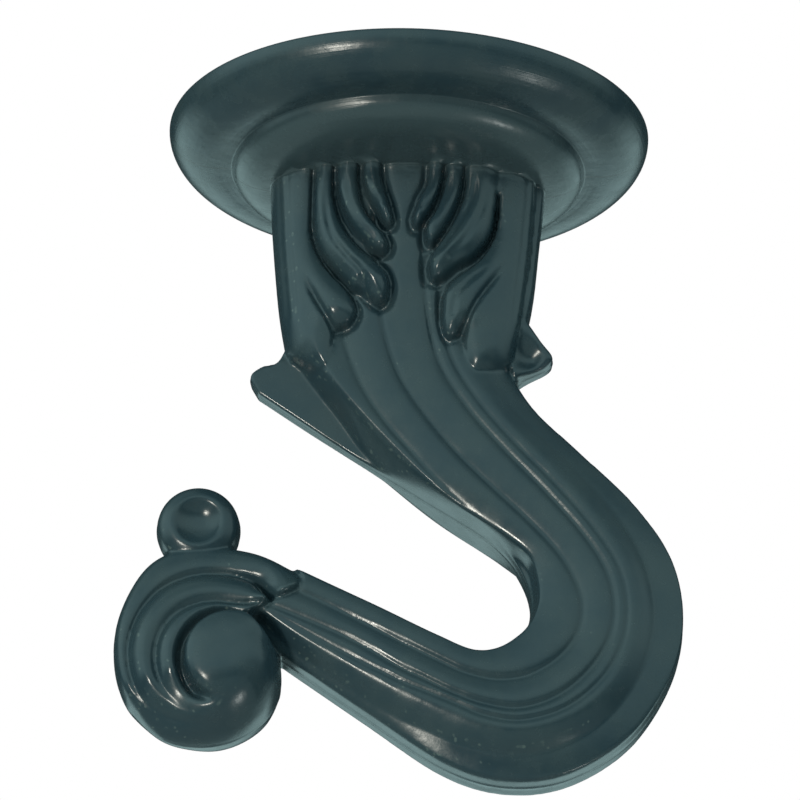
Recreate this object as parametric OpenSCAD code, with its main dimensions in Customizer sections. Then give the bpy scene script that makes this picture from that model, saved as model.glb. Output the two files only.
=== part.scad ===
// Decorative ceiling hook: one die-cast piece and the hanger bolt that holds it up.
// Millimetres. The origin is the centre of the rim that meets the ceiling, +Z points
// up into the ceiling, and the hook curves in the XZ plane, alike on its two faces.

/* [Canopy] */
// Radius of the rim against the ceiling
canopy_r = 19.05; // [18.6:0.05:20]
// Width of the rounded shoulder
shoulder_w = 4.0; // [3.6:0.1:4.4]
// Height of the rounded shoulder
shoulder_h = 3.2; // [3:0.1:3.4]
// Radius of the raised centre disc
disc_r = 13.9; // [13.4:0.1:14.4]
// Depth of the centre disc's flat face below the rim
canopy_h = 5.1; // [4.9:0.1:5.4]
// Thickness of the cup's wall
wall = 1.6; // [1.4:0.1:1.8]
// Radius of the boss round the bolt hole
boss_r = 6.0; // [5.5:0.1:7]
// Depth of the boss and ribs below the rim
boss_drop = 0.5; // [0.3:0.1:1]
// Number of stiffening ribs in the cup
rib_count = 6; // [4:1:8]
// Thickness of a rib
rib_t = 1.4; // [1:0.1:1.8]

/* [Hook] */
// Half thickness of the flat band round the hook's edge
edge_t = 1.9; // [1.6:0.1:2.2]
// Half thickness of the fluted bar
bar_t = 4.2; // [4:0.1:4.6]
// Width of the step between the edge band and the bar's face
edge_w = 1.7; // [1.2:0.1:2]
// Half depth of the neck where it leaves the canopy
neck_t = 6.3; // [5.8:0.1:6.6]

/* [Scroll and finial] */
// Half thickness of the scroll's coiled band
scroll_t = 4.4; // [4.2:0.1:4.8]
// Half thickness of the scroll's domed boss at its centre
dome_t = 6.0; // [5.4:0.1:6.4]
// Radius of the domed boss
dome_r = 4.2; // [3.8:0.1:4.6]
// Radius of the finial knob
finial_r = 3.3; // [3.1:0.1:3.5]
// Half thickness of the finial knob
finial_t = 2.9; // [2.6:0.1:3.1]

/* [Hanger bolt] */
// Radius of both threads over their crests
bolt_r = 2.4; // [2.2:0.05:2.6]
// Radius of the plain shank between the threads
shank_r = 2.0; // [1.8:0.05:2.1]
// Height of the bolt's lower end when it is screwed fully home
bolt_bottom = -24.5; // [-24.5:0.1:-24]
// Height of the top of the machine thread
machine_top = -8.6; // [-9:0.1:-8.4]
// Height of the bottom of the wood thread
wood_bottom = -6.6; // [-7:0.1:-6.4]
// Height at which the wood thread starts to taper
wood_top = 3.9; // [3.5:0.1:4.2]
// Height of the gimlet point
point_z = 8.0; // [7.5:0.1:8.4]
// Radial clearance between the bolt and its hole
bolt_gap = 0.05; // [0.03:0.01:0.09]

/* [Hidden] */
$fn = 96;
// Points added between two control points of a curve
steps = 4;
// Height at which the neck and bar start, inside the canopy's floor
root_z = canopy_h * -0.8;
// Counterbore that clears the wood thread when the bolt is fully home
counterbore_r = bolt_r + 0.9;
counterbore_z = machine_top - 0.6;
hole_end_z = bolt_bottom - 0.5;
floor_z = wall - canopy_h;
// Floor height under the shoulder, and radius of the deeper pocket inside it
shelf_z = wall - shoulder_h;
pocket_r = disc_r - wall;
// Centres of the scroll, of its dome and of the finial, as [x, z]
scroll_c = [-15.2, -43.8];
dome_c = [-13.1, -45.2];
finial_c = [-15.45, -34.0];

// Control points of the hook's edge, as [x, z], clockwise from the canopy's right
neck_right = [[10.9, root_z], [10.4, -10], [10.05, -14], [9.65, -16.6]];
right_ear = [[9.65, -16.6], [10.7, -18.0], [11.65, -19.3], [11.1, -20.2], [9.2, -21.2], [8.75, -21.8]];
outer_edge = [
    [8.75, -21.8], [10.5, -24.4], [14, -27.8], [18, -31.8], [20.8, -36.2], [21.8, -41],
    [20.85, -45.6], [17.7, -50.4], [13.1, -53.5], [8.5, -54.3], [3.9, -53.0], [-2.2, -49.1], [-8.8, -44.7]
];
scroll_edge = [
    [-8.8, -44.7], [-8.9, -47.2], [-10.3, -49.6], [-12.8, -51.0], [-15.3, -51.4], [-18.2, -50.3],
    [-20.7, -47.3], [-21.6, -43.6], [-20.8, -39.8], [-18.7, -37.1], [-15.4, -36.0], [-11.4, -36.9], [-8, -38.1]
];
inner_edge = [
    [-8, -38.1], [-2, -40.9], [3, -43.4], [6.2, -44.55], [8.6, -43.9], [10.3, -41.4],
    [10.0, -38.2], [7.4, -35.2], [2, -31.6], [-4, -27.4], [-11.2, -22.7]
];
left_ear = [[-11.2, -22.7], [-11.95, -21.5], [-11.1, -20.6], [-9.9, -20.2], [-9.3, -19.0]];
neck_left = [[-9.3, -19.0], [-9.9, -15.6], [-10.6, -10], [-10.9, root_z]];
// Inner limit of the fluted bar where the edge band widens into the left ear
flute_inner = [
    [-8, -38.2], [-2, -41.0], [3, -43.5], [6.2, -44.6], [8.6, -43.9], [10.2, -41.4],
    [10.0, -38.2], [7.4, -34.9], [2, -30.6], [-2.5, -27.0], [-6.2, -22.4], [-8.6, -18.4]
];
// The neck's half widths and half depths, as [z, half width, half depth]
neck_slices = [[root_z, 10.8, neck_t], [-11, 10.2, neck_t - 0.7], [-20, 8.5, bar_t + 0.3]];

// Catmull-Rom point between b and c, with neighbours a and d
function blend(a, b, c, d, t) =
    0.5 * (2 * b + (c - a) * t + (2 * a - 5 * b + 4 * c - d) * t * t
    + (3 * b - a - 3 * c + d) * t * t * t);

// Smooth curve through a list of points, with straight-on ends
function curve(pts) =
    let (n = len(pts), p = concat([2 * pts[0] - pts[1]], pts, [2 * pts[n - 1] - pts[n - 2]]))
    concat([for (i = [1 : n - 1], k = [0 : steps - 1])
        blend(p[i - 1], p[i], p[i + 1], p[i + 2], k / steps)], [pts[n - 1]]);

// A curve moved sideways by a distance, to the right of its direction
function moved(path, d) =
    [for (i = [0 : len(path) - 1])
        let (a = path[max(i - 1, 0)], b = path[min(i + 1, len(path) - 1)], t = (b - a) / norm(b - a))
        path[i] + d * [t[1], -t[0]]];

// A curve without its last point, for joining to the next one
function open_end(path) = [for (i = [0 : len(path) - 2]) path[i]];

outline = concat(
    open_end(curve(neck_right)), open_end(curve(right_ear)), open_end(curve(outer_edge)),
    open_end(curve(scroll_edge)), open_end(curve(inner_edge)), open_end(curve(left_ear)),
    curve(neck_left));
bar_face = concat(
    [[7.4, -16]], moved(curve(outer_edge), edge_w), moved(curve(flute_inner), edge_w));

// A plate of an [x, z] outline, centred on the hook's own plane
module plate(points, half_t) {
    rotate([90, 0, 0]) linear_extrude(height = 2 * half_t, center = true) polygon(points);
}

// A lathe-turned shape whose axis runs from front to back through c
module turned(points, c) {
    translate([c[0], 0, c[1]]) rotate([90, 0, 0]) rotate_extrude() polygon(points);
}

// Elliptical slice of the neck
module neck_slice(s) {
    translate([0, 0, s[0]]) scale([s[1], s[2], 1]) cylinder(h = 0.4, r = 1, $fn = 32);
}

module canopy() {
    inner_r = canopy_r - wall;
    shoulder = [for (a = [0 : 10 : 90])
        [canopy_r - shoulder_w * (1 - cos(a)), -shoulder_h * sin(a)]];
    cup = [for (a = [90 : -15 : 0])
        [inner_r - shoulder_w * (1 - cos(a)), shelf_z * sin(a)]];
    rotate_extrude() polygon(concat(
        shoulder,
        [[disc_r, -shoulder_h], [disc_r, -canopy_h + 0.9], [disc_r - 1.2, -canopy_h]],
        [[0, -canopy_h], [0, -boss_drop], [boss_r, -boss_drop], [boss_r, floor_z]],
        [[pocket_r, floor_z], [pocket_r, shelf_z]],
        cup));
}

module ribs() {
    for (i = [0 : rib_count - 1])
        rotate([0, 0, (i + 0.5) * 360 / rib_count])
            translate([boss_r - 1, -rib_t / 2, floor_z - 0.3])
                cube([pocket_r - boss_r + 1.3, rib_t, shelf_z - floor_z + 0.3]);
}

module neck() {
    hull() for (s = neck_slices) neck_slice(s);
}

module scroll() {
    rim = scroll_t - 0.8;
    turned([[0, -rim], [5.6, -rim], [6.3, -edge_t], [6.3, edge_t], [5.6, rim], [0, rim]], scroll_c);
    turned([[0, -scroll_t], [4.9, -scroll_t], [4.9, scroll_t], [0, scroll_t]], scroll_c + [0.4, -0.4]);
    dome = [for (a = [90 : -15 : -90]) [dome_r * cos(a), dome_t * sin(a)]];
    turned(dome, dome_c);
}

module finial() {
    turned([for (a = [90 : -15 : -90]) [finial_r * cos(a), finial_t * sin(a)]], finial_c);
}

module bolt_hole() {
    translate([0, 0, hole_end_z]) cylinder(h = -hole_end_z, r = bolt_r + bolt_gap);
    translate([0, 0, counterbore_z]) cylinder(h = 1 - counterbore_z, r = counterbore_r);
}

module hook_casting() {
    color([0.20, 0.27, 0.29]) difference() {
        union() {
            canopy();
            ribs();
            neck();
            plate(outline, edge_t);
            plate(bar_face, bar_t);
            scroll();
            finial();
        }
        bolt_hole();
    }
}

module hanger_bolt() {
    chamfer = 0.5;
    color([0.72, 0.72, 0.70]) rotate_extrude() polygon([
        [0, bolt_bottom], [bolt_r - chamfer, bolt_bottom], [bolt_r, bolt_bottom + chamfer],
        [bolt_r, machine_top], [shank_r, machine_top + 0.3], [shank_r, wood_bottom - 0.3],
        [bolt_r, wood_bottom], [bolt_r, wood_top], [0.3, point_z], [0, point_z]
    ]);
}

hook_casting();
hanger_bolt();
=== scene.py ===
"""Looks of the decorative ceiling hook: an enamelled die casting and its hanger bolt.

Shapes are worked out in millimetres in the CAD model's frame and put into Blender in metres.
The hook is alike on its two faces, so it is made as a half thickness over its own plane, the
XZ plane, with the thickness measured along Y to either side. Canopy and bolt are turned.
"""
import math

import bmesh
import bpy
import numpy as np
import openvdb
from mathutils import Matrix, Quaternion, Vector


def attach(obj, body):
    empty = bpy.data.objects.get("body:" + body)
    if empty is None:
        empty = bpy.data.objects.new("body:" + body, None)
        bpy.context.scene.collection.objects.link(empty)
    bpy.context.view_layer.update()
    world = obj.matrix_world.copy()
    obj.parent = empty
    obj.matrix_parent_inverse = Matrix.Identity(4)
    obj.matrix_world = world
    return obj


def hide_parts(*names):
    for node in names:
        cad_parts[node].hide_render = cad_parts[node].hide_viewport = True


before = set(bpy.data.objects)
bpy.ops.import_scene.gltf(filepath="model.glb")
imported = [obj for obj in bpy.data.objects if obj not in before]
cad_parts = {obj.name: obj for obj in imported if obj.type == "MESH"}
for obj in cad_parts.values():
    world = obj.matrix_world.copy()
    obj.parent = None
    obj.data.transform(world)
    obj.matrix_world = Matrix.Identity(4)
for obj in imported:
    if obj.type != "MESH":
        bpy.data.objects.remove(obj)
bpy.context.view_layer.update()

MM = 0.001

# ------------------------------------------------------------------ camera
# The hook is seen square on to its face, from about 23 degrees below the horizon.
CAMERA_PLACE = Vector((0, -413.6, -202.4))
CAMERA_AIM = Vector((-0.22, -0.78, -23.18))
CAMERA_ROLL = math.radians(1.335)
CAMERA_LENS, CAMERA_SENSOR = 260.6, 36
CAMERA_CLIP = (0.01, 20)      # in metres


def make_camera():
    camera = bpy.data.objects.new("camera", bpy.data.cameras.new("camera"))
    bpy.context.scene.collection.objects.link(camera)
    camera.location = CAMERA_PLACE * MM
    level = (CAMERA_AIM - CAMERA_PLACE).to_track_quat("-Z", "Y")
    camera.rotation_mode = "QUATERNION"
    camera.rotation_quaternion = level @ Quaternion((0, 0, 1), CAMERA_ROLL)
    camera.data.lens = CAMERA_LENS
    camera.data.sensor_width = CAMERA_SENSOR
    camera.data.clip_start, camera.data.clip_end = CAMERA_CLIP
    bpy.context.scene.camera = camera


make_camera()

# ------------------------------------------------------------------ the hook's outline
# Control points of the hook's edge, as (x, z), clockwise from the canopy's right.
NECK_RIGHT = [(10.95, -2), (10.8, -6), (10.45, -10), (10.1, -14), (9.65, -16.6)]
RIGHT_EAR = [(9.65, -16.6), (10.7, -18.0), (11.65, -19.3), (11.1, -20.2), (9.2, -21.2), (8.75, -21.8)]
OUTER_EDGE = [
    (8.75, -21.8), (10.5, -24.4), (14, -27.8), (18, -31.8), (20.9, -36.2), (21.85, -41),
    (21.0, -45.7), (17.95, -50.75), (13.3, -53.95), (8.5, -54.7), (3.7, -53.35), (-2.35, -49.35),
    (-8.85, -44.85)]
SCROLL_EDGE = [
    (-8.85, -44.85), (-8.8, -47.3), (-9.85, -49.75), (-12.3, -51.5), (-15.2, -52.0), (-18.2, -51.15),
    (-20.95, -47.9), (-21.65, -43.6), (-20.65, -39.8), (-18.7, -37.1), (-15.4, -35.9), (-11.4, -36.4),
    (-8, -38.0)]
INNER_EDGE = [
    (-8, -38.0), (-2, -41.0), (3, -43.55), (6.25, -44.7), (8.55, -43.95), (10.0, -41.5),
    (9.7, -38.4), (7.4, -35.1), (2, -31.55), (-4.15, -27.7), (-11.3, -22.9)]
LEFT_EAR = [(-11.3, -22.9), (-11.95, -21.5), (-11.1, -20.6), (-9.9, -20.2), (-9.3, -19.0)]
NECK_LEFT = [(-9.3, -19.0), (-9.9, -15.6), (-10.5, -10), (-10.8, -6), (-10.95, -2)]
OUTLINE = (NECK_RIGHT, RIGHT_EAR, OUTER_EDGE, SCROLL_EDGE, INNER_EDGE, LEFT_EAR, NECK_LEFT)

# ------------------------------------------------------------------ the flutes
# Lines that run the whole length of the hook, from the canopy to the scroll, as (x, z): the foot
# of the bar's inner wall and its arris, four grooves, and the outer band's shoulder and foot.
WALL_FOOT = [
    (-10.2, -2), (-9.9, -8), (-9.5, -13), (-9.0, -17.5), (-8.1, -20.6), (-6.9, -22.4),
    (-5.2, -24.6), (-2.8, -27.9), (0, -30.5), (3, -32.5), (7.4, -35.4), (9.5, -37.0),
    (10.2, -38.7), (10.3, -41.0), (9.2, -43.1), (6.3, -44.5), (3, -43.1), (-2, -40.6), (-8, -37.8),
    (-12, -36.0)]
ARRIS = [
    (-9.6, -2), (-9.2, -8), (-8.8, -13), (-8.2, -17.5), (-7.1, -20.2), (-5.6, -22.8),
    (-3.0, -25.9), (0, -29.05), (2.0, -31.0), (4.0, -32.6), (6.0, -34.1), (7.8, -35.2), (9.8, -36.9),
    (10.5, -38.7), (10.6, -41.0), (9.3, -43.4), (6.3, -44.75), (3, -43.5), (-2, -41.0), (-8, -38.2),
    (-12, -36.4)]
GROOVE_1 = [
    (-6.5, -2), (-6.2, -9), (-5.6, -14), (-4.9, -18), (-4.2, -20.8), (-3.0, -23.6),
    (-1.3, -26.2), (0.5, -28.4), (2.0, -30.2), (3.4, -31.7), (4.8, -33.0), (6.1, -34.1),
    (7.6, -35.2), (9.6, -36.9), (10.3, -38.8), (10.4, -41.0), (9.2, -43.1), (6.3, -44.5),
    (3, -43.2), (-2, -40.7), (-8, -37.9), (-12, -36.1)]
GROOVE_2 = [
    (-2.6, -2), (-2.4, -10), (-2.1, -14.5), (-1.8, -17.5), (-1.1, -20.3), (0, -23),
    (2, -26), (4.3, -28.8), (7.1, -31.6), (10, -34.4), (12.5, -37.3), (13.9, -40.4),
    (13.7, -43.2), (12.3, -45.3), (10.0, -46.8), (7.6, -47.2), (5.2, -46.7), (3.4, -45.9), (0, -44.2),
    (-5, -41.6), (-8.2, -40.1), (-10.5, -39.4)]
GROOVE_3 = [
    (1.6, -2), (1.3, -10), (1.4, -14), (2.0, -18.3), (3, -21.7), (5.2, -25.2),
    (8, -28.5), (11, -31.7), (13.9, -35.1), (15.7, -38), (16.4, -40.8), (16.1, -43.6),
    (14.7, -46.2), (12.3, -48.4), (9.4, -49.5), (6.6, -49.2), (4.3, -48.4), (2.2, -47.4), (0, -46.3),
    (-3, -44.5), (-6, -43.1), (-10, -41.5)]
GROOVE_4 = [
    (2.7, -2), (2.4, -10), (2.5, -14), (3.0, -18.3), (4.1, -21.6), (6.1, -24.7),
    (8.8, -27.9), (11.9, -31.2), (14.8, -34.7), (16.7, -37.8), (17.4, -40.8), (17.1, -44),
    (15.6, -47.0), (12.9, -49.4), (9.6, -50.5), (6.8, -50.2), (4.6, -49.3), (2.4, -48.4), (0, -47.4),
    (-5, -44.8), (-10, -41.9)]
SHOULDER = [
    (6.8, -2), (6.9, -10), (7.0, -15), (7.2, -19.5), (7.4, -22.2), (8.6, -24.7),
    (11.2, -27.4), (14.1, -30.4), (17, -33.9), (18.9, -37.4), (19.6, -41), (19.2, -44.2),
    (17.7, -47.6), (15.2, -50.5), (11.8, -52.4), (8.2, -52.9), (4.6, -52.1), (2, -50.9), (0, -49.9),
    (-4, -47.4), (-8, -44.6), (-10.4, -42.4)]
OUTER_FOOT = (
    [(10.2, -2), (9.9, -8), (9.5, -13), (8.9, -17.5), (8.35, -20.3), (8.9, -21.9)]
    + OUTER_EDGE[1:-1] + [(-8.8, -45.0), (-11, -43.2)])
LINES = (WALL_FOOT, GROOVE_1, GROOVE_2, GROOVE_3, GROOVE_4, SHOULDER, OUTER_FOOT)

# How far the surface has dropped at each of the seven lines. Each strip between two lines is
# domed, and the powers say how sharply it falls towards its inner line and its outer line. The
# last strip, the outer band, only falls outwards.
LINE_DROP = (0.0, 0.42, 0.42, 0.38, 0.32, 1.45, 1.9)
STRIP_POWERS = ((2.0, 3.0), (2.0, 6.0), (1.6, 6.0), (1.8, 2.5), (5.0, 1.8))
BAND_POWER = 1.3
ARM_POWER = 3.0       # the most that an outer power may be on the arm

# A pair of x or z values gives the stretch over which something comes in.
ARM_X, ARM_Z = (4, -6), (-34, -38)            # the bowl turns into the arm
NECK_TO_BAR_Z = (-15, -24)                    # the neck turns into the bar
FLUTES_START_Z = (-5, -9)                     # the flutes sink in under the canopy
INNER_FALL, INNER_FALL_Z = -0.2, (-27, -32)   # what is added to groove 1's drop from here on
INNER_SLANT = 0.2                             # how far the strip beyond it slants down to it
SLANT_START_Z, SLANT_END_Z = (-30.5, -34), (-44, -39)
SHOULDER_SHARE, SHOULDER_Z = 0.6, (-28, -40)  # the shoulder's drop above the bowl, as a share
CROWN_FALL = 0.4                              # how much lower the bar's two sides are

GROOVE_DEPTH, GROOVE_WIDTH = 0.12, 0.17
DIAGONAL_GROOVE = 0.65                        # the grooves' depth on the diagonal, as a share
DIAGONAL_END_Z, DIAGONAL_START_Z = (-41, -37), (-19, -23)
ARM_GROOVE = 0.4                              # and on the arm
ARRIS_ROUND = 0.4                             # how widely the arris is rounded, as a share of the wall
ARRIS_SHARPER, ARRIS_SHARPER_X = 0.8, (4.0, 6.5)    # and how much less it is at the bend

# ------------------------------------------------------------------ the acanthus leaf
# Outlines of the leaf's lobes as (x, z), with their height above the flutes and how far in from
# the edge each goes on rounding, both as shares of LOBE_SIZE.
LEAF = [
    ([(-3.6, -4.0), (-3.5, -6.2), (-3.1, -7.7), (-2.4, -9.0), (-1.9, -9.9), (-1.45, -10.3),
      (-1.1, -9.9), (-1.3, -8.8), (-1.8, -7.2), (-2.1, -5.7), (-2.15, -4.0)], 0.85, 0.7),
    ([(-5.6, -4.0), (-5.5, -6.7), (-5.1, -8.5), (-4.3, -10.2), (-3.2, -11.6), (-2.4, -12.4),
      (-1.8, -12.5), (-1.4, -11.9), (-1.8, -10.9), (-2.9, -9.6), (-3.6, -8.1), (-3.9, -6.2),
      (-3.95, -4.0)], 1.0, 0.85),
    ([(-7.3, -4.0), (-7.3, -8.2), (-7.1, -10.7), (-6.4, -12.4), (-5.4, -13.8), (-4.6, -14.7),
      (-4.2, -15.3), (-3.5, -15.6), (-2.9, -16.1), (-2.1, -16.6), (-1.5, -16.3), (-1.25, -15.1),
      (-1.6, -14.0), (-2.4, -13.1), (-3.6, -12.1), (-4.8, -10.5), (-5.6, -8.6), (-5.9, -6.6),
      (-5.9, -4.0)], 1.15, 1.1),
    ([(-7.5, -4.0), (-7.6, -9.0), (-7.3, -11.2), (-6.6, -12.8), (-5.6, -14.2), (-4.8, -15.1),
      (-4.1, -16.1), (-3.8, -17.2), (-4.2, -18.1), (-4.9, -18.4), (-5.4, -18.7), (-5.6, -20.2),
      (-5.5, -21.4), (-5.9, -22.0), (-6.7, -21.7), (-7.8, -20.9), (-9.2, -19.4), (-10.4, -15),
      (-11, -8), (-11, -4.0)], 0.95, 1.25),
    ([(1.6, -4.0), (1.5, -6.5), (0.9, -8.0), (0.45, -9.4), (0.5, -10.2), (0.9, -10.3),
      (1.6, -9.4), (2.3, -7.9), (2.7, -6.2), (2.8, -4.0)], 0.85, 0.65),
    ([(3.0, -4.0), (2.9, -6.4), (2.3, -8.6), (1.5, -10.2), (1.5, -11.3), (2.0, -11.8),
      (2.9, -10.6), (3.8, -8.7), (4.25, -6.7), (4.4, -4.0)], 0.95, 0.75),
    ([(4.6, -4.0), (4.5, -6.8), (3.9, -9.0), (2.9, -11.0), (2.0, -12.4), (1.75, -13.6),
      (2.1, -14.6), (2.9, -14.4), (3.8, -13.5), (5.2, -12.4), (6.4, -10.7), (6.9, -8.7),
      (7.0, -4.0)], 1.05, 1.1),
    ([(7.2, -4.0), (7.1, -8.8), (6.6, -11.0), (5.4, -12.9), (4.0, -14.1), (3.1, -15.3),
      (2.85, -16.8), (2.95, -18.3), (3.4, -19.2), (4.1, -19.0), (4.5, -18.7), (4.65, -19.8),
      (4.9, -21.2), (5.5, -22.0), (6.3, -21.9), (7.4, -21.3), (8.6, -20.0), (10.2, -16),
      (10.8, -8), (11, -4.0)], 0.95, 1.25)]
LOBE_SIZE = 1.35
LOBE_ROOT_SHARE, LOBE_ROOT_Z = 0.5, -4.5      # a lobe's height at the canopy, as a share
LOBE_FULL_ABOVE_TIP = 1.5                     # it is at its full height this far above its tip
LOBE_POWER = 1.6                              # how its section rounds; 2 is a circle's arc
LOBE_JOIN = 0.05                              # how softly it meets the flutes
MOAT_DEPTH, MOAT_WIDTH = 0.45, 0.45           # the hollow that follows each lobe's outline
MOAT_END_Z = (-21, -18)
LEAF_FLOOR = 0.8                              # how far the flutes between the lobes lie below the neck
LEAF_LOWEST_Z = -23.5

# Lines cut into the lobes, as (x, z) points, with their depth as a share of LEAF_LINE_DEPTH.
LEAF_LINES = [
    ([(-8.0, -13.8), (-7.2, -15.6), (-6.4, -17.1), (-5.7, -18.3), (-5.2, -19.0)], 0.45),
    ([(7.9, -12.6), (6.6, -14.6), (5.6, -16.2), (4.9, -17.7), (4.4, -19.0)], 0.45),
    ([(-6.5, -5.0), (-6.4, -8.5), (-5.8, -11.2), (-4.6, -13.0), (-3.5, -14.3), (-3.1, -15.8)], 0.3),
    ([(-4.8, -5.0), (-4.6, -7.6), (-3.7, -9.9), (-2.3, -11.6)], 0.18),
    ([(-3.1, -5.0), (-2.9, -7.0), (-2.3, -8.8)], 0.14),
    ([(-2.6, -5.0), (-2.4, -6.8), (-1.9, -8.6)], 0.14),
    ([(2.1, -5.0), (1.9, -7.0), (1.2, -8.9)], 0.14),
    ([(3.5, -5.0), (3.3, -7.2), (2.6, -9.4), (2.0, -10.8)], 0.16),
    ([(5.3, -5.0), (5.1, -7.6), (4.1, -10.0), (2.7, -12.3)], 0.18),
    ([(6.2, -5.5), (5.9, -8.4), (4.9, -10.8), (3.4, -12.9)], 0.16),
    ([(6.6, -13.0), (5.1, -14.5), (4.0, -16.0), (3.7, -17.5)], 0.14)]
LEAF_LINE_DEPTH, LEAF_LINE_WIDTH = 1.4, 0.22
LEAF_LINE_START = 0.3                         # the share of a line over which it deepens

# ------------------------------------------------------------------ the neck, the bar and the ears
# The neck by height: z, half width, half depth.
NECK_Z = (-24.0, -20.0, -17.0, -11.0, -5.1, -2.0)
NECK_HALF_WIDTH = (9.9, 9.8, 9.95, 10.6, 11.0, 11.1)
NECK_HALF_DEPTH = (4.3, 4.8, 5.1, 5.8, 6.4, 6.6)
NECK_OVAL = 2.2       # power of the neck's oval section; 2 is an ellipse
HOOK_TOP = -4.0       # the neck is cut off here, inside the canopy

# Two grooves down each side of the neck, which leave a bead between them, and a thin, uneven
# line of flash where the neck meets the canopy.
BEAD_INSETS, BEAD_DEPTH, BEAD_WIDTH, BEAD_END_Z = (0.85, 1.5), 0.13, 0.2, (-18.5, -16)
FLASH_HEIGHT, FLASH_WIDTH, FLASH_BELOW_CANOPY = 0.16, 0.13, 0.12

BAR_HALF = 4.1        # half thickness of the bar over its crests
ARM_HALF = 3.8        # the same on the arm, towards the scroll
EDGE_HALF = 1.45      # half thickness of the bar's edge, which is square
EAR_EDGE_HALF = 0.9   # the same on the neck and the left ear
NECK_EDGE_Z = (-15, -11)
THIN_SPOTS = ((-10.5, -22, 8, 1), (-3, -28.5, 5, 1), (10.8, -19.5, 2.6, 1.3))   # x, z, radius, share
THIN_MOST = 1.3
EDGE_ROUND = 0.22     # how much the casting rounds at the edge's corners
SURFACE_SOFTNESS = 0.1
PARTING_RIDGE, PARTING_WIDTH = 0.05, 0.2

# The right ear is a small scoop with a rounded rim.
EAR_LOWEST_Z = -22.4
SCOOP_C, SCOOP_R, SCOOP_RIM, SCOOP_ROUND = (9.7, -19.7), 1.25, 0.95, 0.9

# ------------------------------------------------------------------ the scroll and the knob
# A ball with three coils round it, parted by two grooves as (x, z) points. Heights are half
# thicknesses of the casting. Angles are in degrees round the ball's centre, from +X towards +Z.
BALL_C = (-12.65, -46.1)
BALL_R, BALL_RISE, BALL_FOOT, BALL_POWER = 4.5, 4.6, 1.5, 3.4
BALL_SHOWS_R = 3.5    # the coils lap the ball beyond this
COIL_GROOVE_1 = [
    (-9.9, -41.1), (-11, -39.6), (-12.4, -39.0), (-14, -38.8), (-16, -39.1), (-18, -40.1),
    (-19.4, -41.7), (-20.2, -43.6), (-20.4, -45.5), (-20.0, -47.5), (-19.1, -49.0), (-17.8, -50.0),
    (-16.2, -50.7), (-14.6, -51.0), (-12.8, -51.2)]
COIL_GROOVE_2 = [
    (-9.9, -41.4), (-12, -41.6), (-14, -41.45), (-15.6, -41.75), (-17, -42.6), (-18.0, -44.0),
    (-18.35, -45.7), (-18.1, -47.4), (-17.3, -49.0), (-16.0, -50.2), (-14.4, -50.9), (-12.5, -51.3)]
SCROLL_EDGE_HALF = 0.45
OUTER_COIL_RISE, OUTER_COIL_ROUND, OUTER_COIL_POWER = 2.1, 0.8, 2.2
OUTER_COIL_SINK, OUTER_COIL_SINK_FROM = 0.35, 0.75    # it dips into its groove
MIDDLE_COIL_HALF, MIDDLE_COIL_SLOPE = 2.45, 1.0
INNER_COIL_HALF, INNER_COIL_SLOPE = 3.35, 0.6
COIL_CROWN = 0.85                                     # how far the two inner coils round up
LAPPING_X, LAPPING_LOWEST_Z = (-14, -8.5), -42        # where the coils thicken to lap the arm
LAPPING_OUTER, LAPPING_ROUND, LAPPING_MIDDLE = 0.6, 0.4, 0.35
LOW_ANGLES = (190, 220)       # from here the coils' lower ends slant more than they round
LOW_SLANT, LOW_SLANT_POWER, LOW_CROWN_LOSS = 2.0, 0.8, 0.75
CLEFT_DEPTH, CLEFT_OUTSIDE, CLEFT_WIDTH, CLEFT_ANGLES = 0.8, 0.25, 0.36, (60, 110)

# Below and on the right there are no coils, and the ball runs out to the edge in one curve.
BARE_START, BARE_END = (222, 265), (75, 45)
UNDER_START, UNDER_END = (195, 250), (365, 315)
BARE_POWER, BARE_ROUND, UNDER_ROUND = 3.0, 0.5, 0.25

# The edge of the scroll where its coils lap the arm, and the groove along it
LAP_EDGE = [
    (-8.9, -46.6), (-8.95, -45.5), (-9.4, -44.7), (-10.1, -43.9), (-10.9, -43.1), (-11.3, -42.6),
    (-10.9, -42.1), (-10.2, -41.6), (-9.5, -41.0), (-8.6, -40.6), (-7.7, -40.0), (-7.4, -39.2),
    (-7.8, -38.4), (-8.2, -37.7), (-8.5, -36.8)]
LAP_DEPTH, LAP_WIDTH, LAP_FROM_EDGE = 0.3, 0.2, (0.2, 1.0)
SCROLL_X, SCROLL_Z = -7, -34                  # the scroll is all left of this and below this
BURR, BURR_RISE, BURR_R = (-20.2, -48.8), 0.12, 0.55

# The knob on the scroll: a domed round with a dish in it
FINIAL_C = (-15.5, -34.3)
FINIAL_R, FINIAL_EDGE_HALF, FINIAL_RISE, FINIAL_POWER = 3.25, 0.5, 2.2, 2.4
DISH_R, DISH_HALF, DISH_RISE, DISH_POWER, DISH_SOFTNESS = 1.95, 1.5, 0.95, 2.4, 0.3
FINIAL_JOIN = 0.5                             # how softly the knob's outline joins the scroll's

# ------------------------------------------------------------------ canopy, hole and bolt
CANOPY_R = 19.0
CANOPY_H = 5.1                    # how far below the ceiling the raised disc's face is
SHOULDER_W, SHOULDER_H = 4.0, 3.2
DISC_R = 13.9
OVOLO_W, OVOLO_H = 3.5, 1.85      # the rounded edge of the raised disc
DISC_FACE_RINGS = (0, 3, 6, 8, 9.5)
RIM_ROUND, LIP_ROUND = 0.25, 0.2  # the rim's outer and inner corners
CUP_TOP = 0.3                     # where the cup starts to curve in, below the ceiling
WALL = 1.6
BOSS_R, BOSS_DROP = 6.0, 0.5
CANOPY_TURNS = 192                # sides of the turned shape
RIBS, RIB_T, RIB_ROUND = 6, 1.4, 0.3
RIB_SINKS_IN = (0.6, 0.8, 0.5)    # into the boss, the pocket's wall and its floor

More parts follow.
